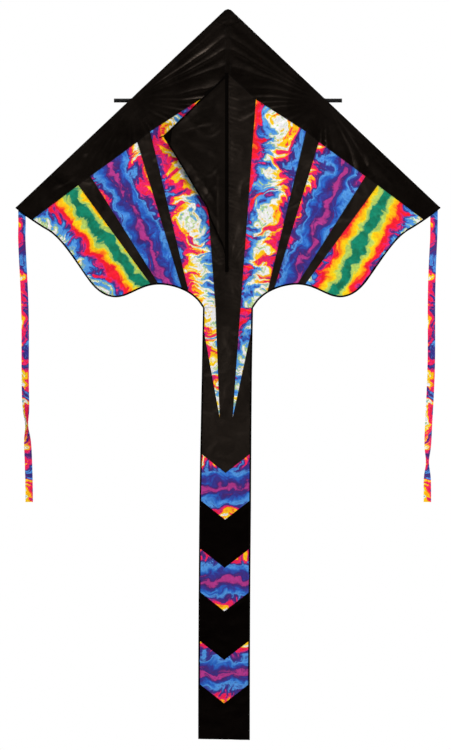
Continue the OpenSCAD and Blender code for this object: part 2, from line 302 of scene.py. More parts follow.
def ridges(x, z, centre, first, last, count, seed, reach, near):
    """Narrow folds that fan out from a point between two directions in degrees, as slopes of 1."""
    draw = np.random.default_rng(seed)
    dx, dz = x - centre[0], z - centre[1]
    r = np.hypot(dx, dz)
    angle = np.arctan2(dz, dx) + 0.05 * cloud(x, z, 110 * MM, seed)
    total = np.zeros_like(r)
    for number in range(count):
        part = (number + 0.5 + 0.7 * (draw.random() - 0.5)) / count
        aim = math.radians(first + (last - first) * part)
        width = math.radians(2.0 + 2.4 * draw.random())
        height = (0.4 + 0.6 * draw.random()) * draw.choice((1, 1, -1))
        off = (angle - aim + math.pi) % (2 * math.pi) - math.pi
        total = total + height * width * np.exp(-(off / width) ** 2)
    return total * r * np.exp(-(r / reach) ** 2) * ease(r, near, 2.4 * near)


def pleats(x, z, centre, first, last, pitch, seed, reach, near):
    """Taut folds with sharp valleys that fan out from a point on both wings, as slopes of 1."""
    dx, dz = np.abs(x) - centre[0], z - centre[1]
    r = np.hypot(dx, dz)
    angle = np.degrees(np.arctan2(dz, dx)) % 360
    turn = (angle - first) / pitch + 0.55 * cloud(x, z, 150 * MM, seed) + 0.3 * np.sin(angle / 5.3 + seed)
    within = ease(angle, first, first + 5) * ease(-angle, -last, -last + 5)
    wave = (np.abs(np.sin(math.pi * turn)) - 0.6) * math.radians(pitch) / math.pi
    strong = 0.75 + 0.6 * cloud(x, z, 120 * MM, seed + 7)
    return within * strong * wave * r * np.exp(-(r / reach) ** 2) * ease(r, near, 2.4 * near)


def fold(x, z, start, end, width, height):
    """One long fold from a place to another, tapering out at both."""
    start, end = np.asarray(start), np.asarray(end)
    way = end - start
    length = np.linalg.norm(way)
    way = way / length
    along = ((x - start[0]) * way[0] + (z - start[1]) * way[1]) / length
    off = (x - start[0]) * way[1] - (z - start[1]) * way[0]
    taper = ease(along, -0.1, 0.25) * ease(-along, -1.1, -0.75)
    return height * taper / (1 + (off / width) ** 2) ** 1.5


# Fans of taut folds from the fittings and from the keel's foot: strength, centre, first
# and last direction and pitch in degrees, seed, reach, and where the fan starts
SAIL_FANS = (
    (0.57, CROSS, 138, 205, 8.0, 3.1, 400 * MM, 14 * MM),
    (0.52, CROSS, 200, 318, 13.0, 5.7, 190 * MM, 14 * MM),
    (0.42, CROSS, 288, 326, 8.5, 2.3, 330 * MM, 50 * MM),
    (0.75, (0, KEEL_BOTTOM), 22, 80, 15.0, 22 / 9, 105 * MM, 6 * MM),
    (0.75, (0, KEEL_BOTTOM), 280, 338, 15.0, 280 / 9, 105 * MM, 6 * MM),
)


def seam_puckering(x, z, side, from_edge):
    """Small waves in the cloth beside the spine and along the leading edges."""
    at_spine = 0.4 * MM * np.sin(z / (2.9 * MM) + 3 * cloud(x, z, 30 * MM, 2.2)) \
        * np.exp(-side / (20 * MM)) * ease(side, 2 * MM, 8 * MM)
    at_edge = 0.25 * MM * np.sin(side / (2.9 * MM)) * np.exp(-np.abs(from_edge) / (16 * MM)) \
        * ease(from_edge, 3 * MM, 9 * MM)
    return at_spine + at_edge


def sail_depth(x, z):
    """Depth of the sail's middle surface behind its plane, in metres."""
    side = np.abs(x)
    from_edge = (side - EDGE_START[0]) * EDGE_IN[0] + z * EDGE_IN[1]
    folds = sum(strength * pleats(x, z, *fan) for strength, *fan in SAIL_FANS)
    folds = folds + 0.12 * ridges(x, z, CROSS, 138, 310, 12, 3, 300 * MM, 20 * MM)
    folds = folds + 0.12 * ridges(x, z, mirrored(CROSS, -1), -130, 42, 12, 8, 300 * MM, 20 * MM)
    folds = folds + 1.5 * MM * cloud(x, z, 150 * MM, 5.2)
    folds = folds + 2.4 * MM * crumple(x, z, 75 * MM, 9.4) * ease(-z, 0.22, 0.4)
    folds = folds + 6 * MM * ease(side, 0, 70 * MM) * (1 - 0.8 * ease(side, 70 * MM, 190 * MM)) \
        * ease(-z, 0.30, 0.42)
    billow = 2.0 * MM * ease(side, 20 * MM, 200 * MM) * ease(from_edge, 20 * MM, 160 * MM)
    free = ease(side, 1 * MM, 16 * MM) * ease(from_edge, 6 * MM, 26 * MM) * ease(z - ROOT_Z, 0, 70 * MM)
    puckers = seam_puckering(x, z, side, from_edge) * ease(z - ROOT_Z, 0, 30 * MM)
    from_tip = ease(TIP[0] - side, 45 * MM, 120 * MM)
    return ((folds + billow) * free + puckers) * from_tip


def tail_depth(x, z):
    """Depth of the tail behind its plane: slow waves down its length and small crumples."""
    drop = ROOT_Z - z
    free = ease(drop, 0, 90 * MM)
    waves = 2.2 * MM * np.sin(drop / (95 * MM)) + 1.3 * MM * np.sin(x / (38 * MM) + drop / (160 * MM))
    crumples = 1.3 * MM * cloud(x, z, 90 * MM, 3.3) + 2.8 * MM * crumple(x, z, 70 * MM, 4.4)
    crumples = crumples + 0.30 * ridges(x, z, (0, ROOT_Z + 60 * MM), 245, 295, 7, 11, 190 * MM, 30 * MM)
    near_curl = 0.3 + 0.7 * ease(np.abs(z - CURL_Z), 4 * MM, 60 * MM)
    return (waves + crumples) * free * near_curl


def tail_place(x, z):
    """The tail spreads a little once free of the sail and its end hangs to the left, not quite level."""
    part = np.clip((ROOT_Z - z) / (ROOT_Z - TAIL_END), 0, 1)
    wide = 1 + 0.03 * ease(part, 0.1, 0.5)
    return x * wide - 11 * MM * part * (2 - part), z - 0.022 * x * part ** 4


def on_sail(points):
    """From (x, z) to the sail's place in space."""
    return np.stack([points[:, 0], sail_depth(points[:, 0], points[:, 1]), points[:, 1]], axis=1)


def on_tail(points):
    """From (x, z) to the hanging tail's place in space; its top lies behind the sail's edge."""
    x, z = points[:, 0], points[:, 1]
    out_x, out_z = tail_place(x, z)
    behind_sail = 0.5 * MM * ease(z - ROOT_Z, -8 * MM, 0)
    return np.stack([out_x, tail_depth(x, z) + behind_sail, out_z], axis=1)


def behind(lift, distance):
    """The same way into space, but some distance farther back."""
    def moved(points):
        return lift(points) + np.array((0, distance, 0))
    return moved


# ---- meshes ----

def add_piece(name, verts, faces, uv=None, sharp=40):
    """A mesh object, smooth but for its sharp edges, with a named UV layer."""
    mesh = bpy.data.meshes.new(name)
    mesh.from_pydata([tuple(v) for v in verts], [], [tuple(f) for f in faces])
    mesh.validate()
    mesh.shade_smooth()
    mesh.set_sharp_from_angle(angle=math.radians(sharp))
    if uv is not None:
        layer = mesh.uv_layers.new(name="cloth")
        corner = np.zeros(len(mesh.loops), int)
        mesh.loops.foreach_get("vertex_index", corner)
        layer.data.foreach_set("uv", np.asarray(uv, float)[corner].ravel())
    piece = bpy.data.objects.new(name, mesh)
    bpy.context.scene.collection.objects.link(piece)
    return piece


def orient_outwards(piece):
    """Turns a closed mesh's faces to look outwards."""
    shape = bmesh.new()
    shape.from_mesh(piece.data)
    bmesh.ops.recalc_face_normals(shape, faces=shape.faces)
    shape.to_mesh(piece.data)
    shape.free()


def weld(patches):
    """Grids of points joined along their shared sides: (points, quads)."""
    points, quads, seen = [], [], {}

    def index(point):
        key = tuple(np.round(point / (0.02 * MM)).astype(int))
        if key not in seen:
            seen[key] = len(points)
            points.append(point)
        return seen[key]

    for grid in patches:
        ids = [[index(point) for point in row] for row in grid]
        for i in range(len(ids) - 1):
            for j in range(len(ids[0]) - 1):
                ring = [ids[i][j], ids[i + 1][j], ids[i + 1][j + 1], ids[i][j + 1]]
                ring = [v for k, v in enumerate(ring) if v != ring[k - 1]]
                if len(set(ring)) >= 3:
                    quads.append(ring)
    return np.array(points), quads


def corner_normals(points, faces):
    """Unit normals at the points, averaged over the faces round each."""
    total = np.zeros_like(points)
    for ring in faces:
        centre = points[ring].mean(axis=0)
        for a, b in pairs(ring):
            total[ring] += np.cross(points[a] - centre, points[b] - centre)
    return total / np.maximum(np.linalg.norm(total, axis=1), 1e-12)[:, None]


def thicken(points, faces, thickness):
    """A single surface made into a thin closed cloth: (vertices, faces)."""
    normals = corner_normals(points, faces)
    if np.sum(normals[:, 1]) > 0:
        faces = [ring[::-1] for ring in faces]
        normals = -normals
    count = len(points)
    verts = np.concatenate([points + normals * thickness / 2, points - normals * thickness / 2])
    edges = dict.fromkeys(edge for ring in faces for edge in pairs(ring))
    rim = [(b, a, a + count, b + count) for a, b in edges if (b, a) not in edges]
    back = [[v + count for v in ring[::-1]] for ring in faces]
    return verts, faces + back + rim


class Cut:
    """How a piece lies on the printed cloth: the place of a point on it and the stripes' direction."""

    def __init__(self, at, on_cloth, stripes, flip=1):
        self.at = np.asarray(at, float)
        self.on_cloth = np.asarray(on_cloth, float)
        self.along = np.asarray(stripes, float) / np.linalg.norm(stripes)
        self.across = flip * np.array((-self.along[1], self.along[0]))

    def __call__(self, places):
        away = places - self.at
        return self.on_cloth + np.stack([away @ self.across, away @ self.along], axis=1)


PLAIN = Cut((0, 0), (0, 0), (0, 1))


def cloth_piece(name, patches, lift, material, cut=PLAIN, thickness=CLOTH):
    """Cloth made of (x, z) patches, lifted into space by a function, thickened and given its print."""
    points, faces = weld(patches)
    verts, faces = thicken(lift(points), faces, thickness)
    uv = np.concatenate([cut(points)] * 2)
    piece = add_piece(name, verts, faces, uv)
    piece.data.materials.append(material)
    return piece


def ribbon(line, low, high):
    """Patch of a band that lies between two distances to the right of a line."""
    return np.stack([shifted(line, part) for part in (low, (low + high) / 2, high)], axis=1)


def in_mm(profile):
    return [(w * MM, y * MM) for w, y in profile]


def both_faces(half):
    """A folded tape's profile of (inwards, back) points in mm, from its front half, fold and edge."""
    return in_mm(half + [(w, -y) for w, y in half[-2:0:-1]])


def both_sides(half):
    """A profile in mm that is the same left and right, from its right half."""
    return in_mm(half + [(-w, y) for w, y in half[:0:-1]])


def ring_faces(a, b, count):
    """Quads between two rings of points that start at numbers a and b."""
    return [(a + j, a + (j + 1) % count, b + (j + 1) % count, b + j) for j in range(count)]


def tube(name, rings, uv, material, hollow=()):
    """A skin over rings of points: solid with capped ends, or hollow with a second set of rings inside."""
    count = len(rings[0])
    last = (len(rings) - 1) * count
    verts = [point for ring in rings for point in ring]
    faces = []
    for start in range(0, last, count):
        faces += ring_faces(start, start + count, count)
    if hollow:
        inside = len(verts)
        verts += [point for ring in hollow for point in ring]
        for start in range(inside, inside + last, count):
            faces += ring_faces(start + count, start, count)
        faces += ring_faces(inside, 0, count) + ring_faces(last, inside + last, count)
        uv = uv + uv
    else:
        faces += [tuple(range(count))[::-1], tuple(range(last, last + count))]
    piece = add_piece(name, verts, faces, uv, sharp=50)
    orient_outwards(piece)
    piece.data.materials.append(material)
    return piece


def sweep(name, path, inward, profile, material, depth=0.0, hollow=(), scale=1.0):
    """A closed profile of (inwards, back) points carried along a path in the sail's plane."""
    depths = np.broadcast_to(depth, len(path))
    scales = np.broadcast_to(scale, len(path))
    rings = [[(place[0] + aim[0] * w * grow, deep + y * grow, place[1] + aim[1] * w * grow)
              for w, y in profile] for place, aim, deep, grow in zip(path, inward, depths, scales)]
    inner = [[(place[0] + aim[0] * w, y, place[1] + aim[1] * w) for w, y in hollow]
             for place, aim in zip(path, inward)] if hollow else ()
    around = np.linspace(0, 12 * MM, len(profile))
    uv = [(u, v) for v in distances(path) for u in around]
    return tube(name, rings, uv, material, inner)


def stitch(spot, step, rise):
    """The ten points of one stitch: a tip, two rings of four and a tip."""
    forward = np.array((step[0], 0, step[1]))
    sideways = np.array((-step[1], 0, step[0]))
    place = spot + np.array((0, rise, 0))
    half = STITCH_LEN / 2
    points = [place - forward * half]
    for part in (-0.6, 0.6):
        for turn in range(4):
            angle = turn * math.pi / 2
            points.append(place + forward * part * half + sideways * THREAD * math.cos(angle)
                          + np.array((0, 0.8 * THREAD * math.sin(angle), 0)))
    return points + [place + forward * half]


def stitches(name, lines, lift, rise):
    """Rows of single stitches along lines in the plane, standing on the cloth's face."""
    verts, faces = [], []
    for line in lines:
        places = resample(line, max(2, int(distances(line)[-1] / STITCH_PITCH)))
        steps = np.diff(places, axis=0)
        steps /= np.linalg.norm(steps, axis=1)[:, None]
        for spot, step in zip(lift((places[:-1] + places[1:]) / 2), steps):
            base = len(verts)
            verts += stitch(spot, step, rise)
            for k in range(4):
                n = (k + 1) % 4
                faces.append((base, base + 1 + n, base + 1 + k))
                faces.append((base + 1 + k, base + 1 + n, base + 5 + n, base + 5 + k))
                faces.append((base + 9, base + 5 + k, base + 5 + n))
    piece = add_piece(name, verts, faces, sharp=180)
    orient_outwards(piece)
    piece.data.materials.append(THREAD_BLACK)
    return piece


# ---- materials ----

def feed(tree, node, inputs):
    """Sets or links a node's inputs, each by its name or number."""
    for key, value in inputs.items():
        if isinstance(value, bpy.types.NodeSocket):
            tree.links.new(value, node.inputs[key])
        else:
            node.inputs[key].default_value = value


def add(tree, kind, inputs=None, **settings):
    """A shader node with its settings and its inputs."""
    made = tree.nodes.new("ShaderNode" + kind)
    for key, value in settings.items():
        setattr(made, key, value)
    feed(tree, made, inputs or {})
    return made


def calc(tree, operation, a, b=0.0, c=0.0):
    return add(tree, "Math", {0: a, 1: b, 2: c}, operation=operation).outputs[0]


def times(tree, a, b):
    return calc(tree, "MULTIPLY", a, b)


def times_plus(tree, a, b, c):
    return calc(tree, "MULTIPLY_ADD", a, b, c)


def vector_calc(tree, operation, a, b):
    return add(tree, "VectorMath", {0: a, 1: b}, operation=operation).outputs[0]


def remap(tree, value, low, high, to_low=0.0, to_high=1.0):
    """Eases a value from one range to another."""
    inputs = {"Value": value, "From Min": low, "From Max": high, "To Min": to_low, "To Max": to_high}
    return add(tree, "MapRange", inputs, interpolation_type="SMOOTHSTEP").outputs[0]


def separate(tree, place):
    """A place's two distances, across and along the cloth."""
    parts = add(tree, "SeparateXYZ", {0: place}).outputs
    return parts[0], parts[1]


def noise_of(tree, place, scale, detail=2.0, rough=0.5, distortion=0.0, output=0):
    return add(tree, "TexNoise", {
        "Vector": place,
        "Scale": scale,
        "Detail": detail,
        "Roughness": rough,
        "Distortion": distortion,
    }).outputs[output]


def bump(tree, height, strength, distance, **under):
    inputs = {"Strength": strength, "Distance": distance, "Height": height, **under}
    return add(tree, "Bump", inputs).outputs[0]


def srgb(red, green, blue):
    """A colour given as 0 to 255 levels, for a shader."""
    def line(v):
        v /= 255
        return v / 12.92 if v <= 0.04045 else ((v + 0.055) / 1.055) ** 2.4
    return line(red), line(green), line(blue), 1.0


def colour_ramp(tree, value, stops):
    made = add(tree, "ValToRGB", {"Fac": value})
    ramp = made.color_ramp
    for spot, colour in stops[1:-1]:
        ramp.elements.new(spot).color = colour
    ramp.elements[0].position, ramp.elements[0].color = stops[0]
    ramp.elements[-1].position, ramp.elements[-1].color = stops[-1]
    return made.outputs[0]


def new_material(name):
    material = bpy.data.materials.new(name)
    material.use_nodes = True
    tree = material.node_tree
    return material, tree, tree.nodes["Principled BSDF"]


def cloth_place(tree):
    """Place on the cloth in metres, from the piece's own UV layer."""
    return add(tree, "UVMap", uv_map="cloth").outputs[0]


def swirl(tree, at, scale, reach, detail):
    """Moves the place read on the cloth by a noise, so that the colours run."""
    drift = noise_of(tree, at, scale, detail, 0.55, output="Color")
    centred = vector_calc(tree, "SUBTRACT", drift, (0.5, 0.5, 0.5))
    moved = add(tree, "VectorMath", {0: centred, "Scale": reach}, operation="SCALE").outputs[0]
    return vector_calc(tree, "ADD", at, moved)


def seam_puckers(tree, place, under):
    """Small folds across the seam at the middle of the sail."""
    across, along = separate(tree, swirl(tree, place, 16.0, 34 * MM, 2.0))
    side = calc(tree, "ABSOLUTE", across)
    slanted = times_plus(tree, side, 0.35, along)
    wave = calc(tree, "SINE", times(tree, slanted, 2 * math.pi / PUCKER_PITCH))
    uneven = remap(tree, noise_of(tree, place, 22.0, 1.0), 0.35, 0.65)
    height = times(tree, wave, times(tree, uneven, remap(tree, side, 55 * MM, 4 * MM)))
    return bump(tree, height, 0.6, 0.5 * MM, Normal=under)


def weave_bump(tree, place, threads=1250.0, strength=0.12, crinkled=0.5, puckered=False):
    """Fine over-and-under of warp and weft, so many threads a metre, with soft crinkles under it."""
    soft = bump(tree, noise_of(tree, place, 48.0, 3.0, 0.5, 0.4), crinkled, 2.0 * MM)
    if puckered:
        soft = seam_puckers(tree, place, soft)
    turns = [times(tree, way, threads * 2 * math.pi) for way in separate(tree, place)]
    warp, weft = (calc(tree, "SINE", turn) for turn in turns)
    return bump(tree, times(tree, warp, weft), strength, 0.1 * MM, Normal=soft)


def black_cloth(name, tone, roughness, shine, **weave):
    """Black cloth: slightly warm, with a satin shine and uneven dye."""
    material, tree, shader = new_material(name)
    place = cloth_place(tree)
    patchy = noise_of(tree, place, 9.0, 5.0, 0.6, 0.8)
    dark, light = (tuple(v * part for v in tone) + (1.0,) for part in (0.6, 1.4))
    feed(tree, shader, {
        "Base Color": colour_ramp(tree, patchy, [(0.3, dark), (0.7, light)]),
        "Roughness": remap(tree, patchy, 0.3, 0.7, roughness - 0.06, roughness + 0.06),
        "Normal": weave_bump(tree, place, **weave),
        "Specular IOR Level": shine,
        "Specular Tint": (1.0, 0.76, 0.60, 1.0),
    })
    return material


DYES = {name: srgb(*levels) for name, levels in {
    "forest": (0, 92, 62),
    "green": (0, 128, 98),
    "lime": (172, 200, 92),
    "yellow": (236, 206, 0),
    "gold": (252, 176, 0),
    "orange": (250, 100, 6),
    "red": (236, 12, 40),
    "pink": (226, 30, 110),
    "magenta": (170, 48, 130),
    "plum": (104, 38, 122),
    "violet": (62, 28, 104),
    "indigo": (44, 48, 140),
    "blue": (30, 92, 186),
    "sky": (78, 148, 218),
    "white": (226, 224, 226),
}.items()}

# The print, in parts of the way from the middle of a green stripe to the middle of a magenta one
HALF_REPEAT = 222 * MM
STRIPES = [
    (0.000, "green"), (0.062, "green"), (0.085, "lime"), (0.105, "lime"),
    (0.125, "yellow"), (0.165, "gold"), (0.188, "orange"), (0.205, "red"), (0.243, "red"),
    (0.264, "pink"), (0.285, "plum"), (0.306, "violet"), (0.335, "blue"), (0.375, "sky"),
    (0.415, "sky"), (0.445, "lime"), (0.470, "white"), (0.512, "white"), (0.534, "yellow"),
    (0.585, "gold"), (0.610, "red"), (0.645, "pink"), (0.680, "red"), (0.700, "pink"),
    (0.722, "plum"), (0.750, "violet"), (0.785, "indigo"), (0.820, "sky"), (0.875, "blue"),
    (0.915, "indigo"), (0.964, "violet"), (0.996, "magenta"),
]
ROSE_PITCH = 253 * MM        # from one rose to the next along the cloth
ROSE_SIZE = 57 * MM
ROSE_MIDDLE = 0.49           # place of a rose's white in the stripes
ROSE_AT = 0.52 * HALF_REPEAT
RING_PITCH = 19 * MM         # from one ring of a rose to the next


def stretched_noise(tree, place, stretch, detail, distortion):
    """Noise from -0.5 to 0.5 with features of their own size across and along the stripes."""
    seen = vector_calc(tree, "MULTIPLY", place, stretch + (1.0,))
    return calc(tree, "SUBTRACT", noise_of(tree, seen, 1.0, detail, 0.55, distortion), 0.5)


def from_rose(tree, place):
    """A place's distances from the middle of the nearest rose: across, along and straight."""
    x, y = separate(tree, place)
    across = calc(tree, "SUBTRACT", calc(tree, "PINGPONG", x, HALF_REPEAT), ROSE_AT)
    along = calc(tree, "WRAP", y, -ROSE_PITCH / 2, ROSE_PITCH / 2)
    squares = calc(tree, "ADD", times(tree, across, across), times(tree, along, along))
    return across, along, calc(tree, "SQRT", squares)


def turned_at_roses(tree, place):
    """The same place with each rose's neighbourhood turned like a whirl."""
    across, along, radius = from_rose(tree, place)
    angle = remap(tree, radius, 0.0, 1.9 * ROSE_SIZE, 2.4, 0.0)
    offset = add(tree, "CombineXYZ", {0: across, 1: along}).outputs[0]
    turning = add(tree, "VectorRotate", {"Vector": offset, "Angle": angle}, rotation_type="Z_AXIS")
    return vector_calc(tree, "ADD", place, vector_calc(tree, "SUBTRACT", turning.outputs[0], offset))


def rose_rings(tree, radius):
    """Rings round the middle of a rose, fading in and out with the distance from it."""
    rim = times(tree, remap(tree, radius, 8 * MM, 20 * MM), remap(tree, radius, 78 * MM, 48 * MM))
    return times(tree, calc(tree, "SINE", times(tree, radius, 2 * math.pi / RING_PITCH)), rim)


def stripe_place(tree, place):
    """Where in the stripes each place on the cloth reads its colour: drawn straight, then marbled."""
    wavy = swirl(tree, swirl(tree, place, 19.0, 58 * MM, 1.0), 75.0, 14 * MM, 2.0)
    radius = from_rose(tree, swirl(tree, place, 24.0, 24 * MM, 2.0))[2]
    plain = calc(tree, "DIVIDE", calc(tree, "PINGPONG", separate(tree, wavy)[0], HALF_REPEAT), HALF_REPEAT)
    marbled = times(tree, remap(tree, plain, 0.20, 0.38), remap(tree, plain, 0.84, 0.68))
    blues = remap(tree, plain, 0.72, 0.82)
    rose = remap(tree, radius, ROSE_SIZE, 0.25 * ROSE_SIZE)

    # inside a rose the stripes give way to its white middle and its rings
    away = calc(tree, "SUBTRACT", plain, ROSE_MIDDLE)
    drawn_in = times_plus(tree, away, times_plus(tree, rose, -0.82, 1.0), ROSE_MIDDLE)
    spot = times_plus(tree, rose_rings(tree, radius), 0.034, drawn_in)

    # tongues of one dye in the next, long flows in the blues, and a fine grain
    whirled = swirl(tree, turned_at_roses(tree, wavy), 60.0, 14 * MM, 1.0)
    calmed = times(tree, times_plus(tree, marbled, 0.80, 0.12), times_plus(tree, rose, -0.65, 1.0))
    spot = times_plus(tree, stretched_noise(tree, whirled, (10.0, 30.0), 2.5, 0.5), calmed, spot)
    flows = stretched_noise(tree, wavy, (60.0, 17.0), 3.0, 0.8)
    spot = times_plus(tree, flows, times_plus(tree, blues, 0.20, 0.06), spot)
    grain = stretched_noise(tree, wavy, (150.0, 150.0), 2.0, 0.5)
    return times_plus(tree, grain, times_plus(tree, marbled, 0.08, 0.06), spot)


def printed_cloth():
    """Tie-dye print: stripes that repeat in mirror image, marbled where the dyes ran together."""
    material, tree, shader = new_material("dyed_taffeta")
    place = cloth_place(tree)
    spot = stripe_place(tree, place)
    stripes = colour_ramp(tree, spot, [(part, DYES[dye]) for part, dye in STRIPES])
    pooled = times(tree, remap(tree, spot, 0.075, 0.045),
                   remap(tree, noise_of(tree, place, 30.0, 3.0), 0.42, 0.66, 0.0, 0.8))
    colour = add(tree, "Mix", {0: pooled, 6: stripes, 7: DYES["forest"]}, data_type="RGBA").outputs[2]
    fade = remap(tree, noise_of(tree, place, 130.0, 3.0), 0.3, 0.7, 0.86, 1.08)
    feed(tree, shader, {
        "Base Color": add(tree, "HueSaturation", {"Color": colour, "Value": fade}).outputs[0],
        "Normal": weave_bump(tree, place),
        "Roughness": 0.62,
        "Specular IOR Level": 0.2,
    })
    return material


def hard_black(name, pattern, dark, light):
    """A black material whose grain is a noise on the object itself."""
    material, tree, shader = new_material(name)
    grain = noise_of(tree, add(tree, "TexCoord").outputs["Object"], *pattern)
    feed(tree, shader, {"Base Color": colour_ramp(tree, grain, [dark, light])})
    return material, tree, shader, grain


def rod_material():
    """Pultruded glass fibre: glossy black with a fine grain."""
    material, tree, shader, grain = hard_black(
        "rod_glass_fibre", (420.0, 3.0, 0.6, 0.3),
        (0.3, (0.004, 0.004, 0.004, 1)), (0.7, (0.010, 0.010, 0.010, 1)))
    feed(tree, shader, {
        "Roughness": remap(tree, grain, 0.3, 0.7, 0.22, 0.36),
        "Normal": bump(tree, grain, 0.03, 0.03 * MM),
    })
    return material


def vinyl_material():
    """Soft black vinyl tube: satin, with scuffs."""
    material, tree, shader, scuff = hard_black(
        "vinyl", (260.0, 5.0, 0.7, 1.2),
        (0.35, (0.003, 0.003, 0.003, 1)), (0.72, (0.009, 0.009, 0.008, 1)))
    feed(tree, shader, {
        "Roughness": remap(tree, scuff, 0.3, 0.7, 0.50, 0.65),
        "Specular IOR Level": 0.12,
        "Normal": bump(tree, scuff, 0.15, 0.15 * MM),
    })
    return material


def thread_material():
    """Black polyester thread."""
    material, tree, shader, _ = hard_black(
        "thread", (900.0, 2.0),
        (0.35, (0.002, 0.0015, 0.001, 1)), (0.65, (0.008, 0.006, 0.005, 1)))
    feed(tree, shader, {"Roughness": 0.6, "Specular IOR Level": 0.15})
    return material


TAFFETA = black_cloth("black_taffeta", (0.0010, 0.0006, 0.0004), 0.40, 0.165)
# The same black taffeta with a lighter tone and more shine: painted light, for the stripes and the tail's
# top, which catch more light
PAINTED_LIT_TAFFETA = black_cloth("painted_lit_black_taffeta", (0.0014, 0.0009, 0.0006), 0.42, 0.40, crinkled=0.7)
# The same black taffeta with a lighter tone and more shine, painted light for the centre panels, which
# catch more light; its puckers along the middle seam are real
PUCKERED_PAINTED_LIT = black_cloth("puckered_painted_lit_taffeta", (0.0016, 0.0010, 0.0007), 0.42, 0.36, puckered=True)
DEEP_TAFFETA = black_cloth("deep_black_taffeta", (0.0006, 0.0002, 0.0002), 0.45, 0.03)
KEEL_TAFFETA = black_cloth("keel_taffeta", (0.0010, 0.0006, 0.0004), 0.46, 0.16)
# Real black binding tape; its near-black tone with almost no shine is also painted shade along the keel's
# root, where the keel stands off the sail
TAPE = black_cloth("black_tape", (0.0003, 0.0002, 0.0002), 0.6, 0.03, threads=620.0, strength=0.1)
DYED = printed_cloth()
ROD = rod_material()
VINYL = vinyl_material()
THREAD_BLACK = thread_material()


# ---- how pieces are fixed to the frame ----

def stand_for(piece, slot, *nodes):
    """Hides the CAD nodes that a piece replaces, if any; the slot is not used."""
    if nodes:
        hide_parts(*nodes)


def fix(piece, body, slot, *nodes):
    """Fixes a whole piece to one body."""
    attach(piece, body)
    stand_for(piece, slot, *nodes)


def fix_at_hinge(piece, side, sign, slot, *nodes):
    """Cloth by the line from the nose to the tail's corner: it keeps its place in its own mesh and is fixed
    to no body.
    """
    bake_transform(piece)
    stand_for(piece, slot, *nodes)


def fix_to_tail(piece, where, slot, *nodes):
    """Fixes a piece on the tail's upper or lower part; a piece at the tail's top or crease keeps its place
    in its own mesh and is fixed to no body.
    """
    bends = {
        "top": ("centre", "tail_upper", ROOT_Z, ROOT_Z - TAIL_BEND),
        "crease": ("tail_upper", "tail_lower", CURL_Z + CREASE_HALF, CURL_Z - CREASE_HALF),
    }
    if where in bends:
        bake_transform(piece)
    else:
        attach(piece, "tail_" + where)
    stand_for(piece, slot, *nodes)


# ---- sail ----

# Where each panel was cut from the print: a point of the kite, the same point on the
# cloth, and the direction of the stripes; -1 where the cloth was turned over
PRINT_PLACES = {
    ("right", "inner"): Cut((0.151, -0.313), (ROSE_AT + 8 * MM, 0.0), (-0.139, -0.990)),
    ("right", "middle"): Cut((0.324, -0.424), (HALF_REPEAT, 0.1), (-0.40, -0.917)),
    ("right", "outer"): Cut((0.440, -0.498), (0.0, 0.02), (-0.459, -0.889)),
    ("right", "spike"): Cut((0.047, ROOT_Z), (0.33 * HALF_REPEAT, 0.4), (-0.2, -1)),
    ("left", "inner"): Cut((-0.102, -0.587), (ROSE_AT, 1.012), (0.2, -0.98), -1),
    ("left", "middle"): Cut((-0.318, -0.436), (HALF_REPEAT, 0.7), (0.431, -0.902), -1),
    ("left", "outer"): Cut((-0.428, -0.518), (0.0, 0.5), (0.628, -0.777), -1),
}
PRINT_PLACES["left", "spike"] = PRINT_PLACES["left", "inner"]

PANELS = {
    "leading": (("leading_panel", "nose_gore"), TAFFETA, "cloth_black"),
    "centre": (("centre_gore", "centre_panel"), PUCKERED_PAINTED_LIT, "cloth_black"),
    "inner": (("inner_panel", "inner_gore"), DYED, "dye_rose"),
    "inner_stripe": (("inner_stripe",), PAINTED_LIT_TAFFETA, "cloth_black"),
    "middle": (("middle_panel",), DYED, "dye_violet"),
    "outer_stripe": (("outer_stripe",), PAINTED_LIT_TAFFETA, "cloth_black"),
    "outer": (("outer_panel",), DYED, "dye_green"),
}
OUTER_COLUMNS = 24           # cells across the outer panel
LEADING_ROWS = 56            # and down the leading panel


def leading_grid(counts, tip, hem_out):
    """The leading panel, from the leading edge down to the first seam and the tip's hem."""
    parts = [straight(SEAM[i], SEAM[i + 1], counts[i])[:-1] for i in range(5)]
    bottom = np.concatenate(parts + [straight(SEAM[5], hem_out[0], OUTER_COLUMNS)])
    along = distances(bottom)
    edge = straight(EDGE_START, tip[0], 200)
    top = np.array([NOSE if part == 0 else edge[int(part * 199.5)] for part in along / along[-1]])
    outer_side = hem_between(tip, hem_out)[::-1]
    return coons(top, bottom, straight(NOSE, SEAM[0], LEADING_ROWS), resample(outer_side, LEADING_ROWS))


def outer_grid(foot, out):
    """The outer panel has three straight sides only: its curved hem is both bottom and outer side."""
    hem = hem_between(out, foot)
    lengths = distances(hem)
    knee = int(np.argmin(np.abs(lengths - 0.3 * lengths[-1])))
    return coons(straight(SEAM[5], out[0], OUTER_COLUMNS), resample(hem[:knee + 1], OUTER_COLUMNS),
                 straight(SEAM[5], foot[0], PANEL_ROWS), resample(hem[knee:][::-1], PANEL_ROWS))


